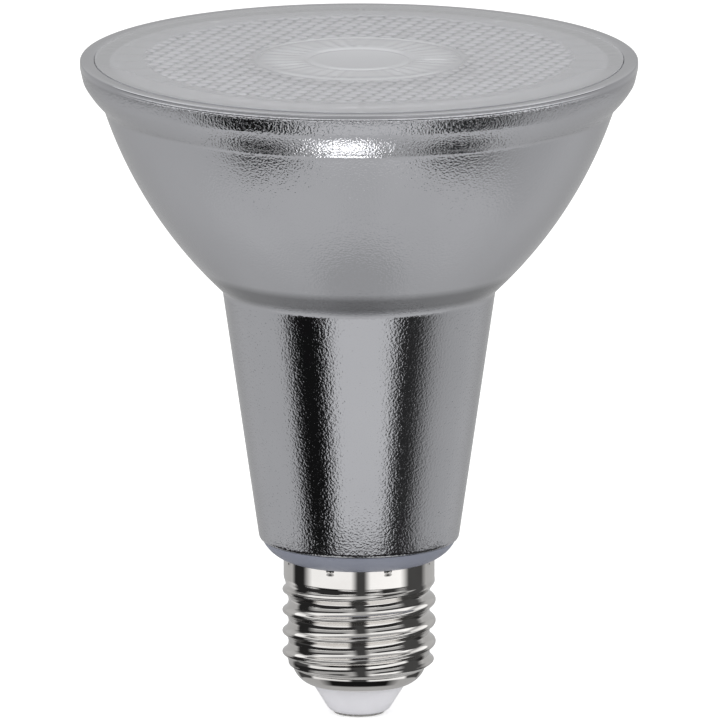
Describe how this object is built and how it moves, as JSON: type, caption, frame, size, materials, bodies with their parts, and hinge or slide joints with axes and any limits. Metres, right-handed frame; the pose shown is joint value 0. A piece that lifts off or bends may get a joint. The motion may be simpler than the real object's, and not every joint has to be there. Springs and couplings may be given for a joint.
{
  "type": "par spotlight bulb",
  "caption": "Long-neck reflector spotlight lamp: a silvered glass body with a clear patterned lens, an LED source and driver inside, on an Edison screw cap.",
  "frame": {"origin": "bottom of the centre contact, on the lamp's axis", "axes": "+Z along the lamp's axis, from the cap to the lens; X and Y across it"},
  "size_m": [0.095, 0.095, 0.114],
  "materials": {
    "lens_acrylic": "clear moulded acrylic with a field of fine lenslets",
    "seal_rubber": "translucent silicone",
    "silvered_glass": "pressed glass with a stippled silver coating",
    "collar_plastic": "satin grey moulded plastic",
    "nickel_plate": "bright nickel-plated rolled sheet",
    "insulator_white": "white moulded insulator",
    "contact_metal": "tinned contact disc",
    "spreader_aluminium": "turned aluminium",
    "led_board_white": "metal-core board with a white mask",
    "emitter_ceramic": "white ceramic package",
    "phosphor_yellow": "yellow phosphor in silicone",
    "screw_steel": "zinc-plated steel",
    "sleeve_plastic": "natural white moulded plastic",
    "circuit_board": "green glass-epoxy board",
    "capacitor_sleeve": "shrunk plastic sleeve on an aluminium can",
    "film_capacitor_case": "dipped resin",
    "ferrite": "sintered ferrite",
    "bobbin_plastic": "black moulded plastic",
    "copper_wire": "enamelled copper wire",
    "chip_plastic": "black moulded epoxy",
    "resistor_body": "lacquered body",
    "lead_brown": "insulated wire",
    "lead_blue": "insulated wire",
    "lead_red": "insulated wire",
    "lead_black": "insulated wire"
  },
  "bodies": {
    "root": {"front_lens": "lens_acrylic", "lens_seal": "seal_rubber", "glass_reflector": "silvered_glass", "collar": "collar_plastic", "screw_shell": "nickel_plate", "cap_insulator": "insulator_white", "centre_contact": "contact_metal", "heat_spreader": "spreader_aluminium", "led_board": "led_board_white", "led_emitter": "emitter_ceramic", "led_phosphor": "phosphor_yellow", "board_screws": "screw_steel", "driver_sleeve": "sleeve_plastic", "driver_board": "circuit_board", "bulk_capacitor": "capacitor_sleeve", "output_capacitor": "capacitor_sleeve", "film_capacitor": "film_capacitor_case", "transformer_core": "ferrite", "transformer_bobbin": "bobbin_plastic", "transformer_winding": "copper_wire", "filter_choke": "ferrite", "bridge_rectifier": "chip_plastic", "control_chip": "chip_plastic", "fuse_resistor": "resistor_body", "live_lead": "lead_brown", "neutral_lead": "lead_blue", "led_lead_positive": "lead_red", "led_lead_negative": "lead_black"}
  },
  "joints": []
}
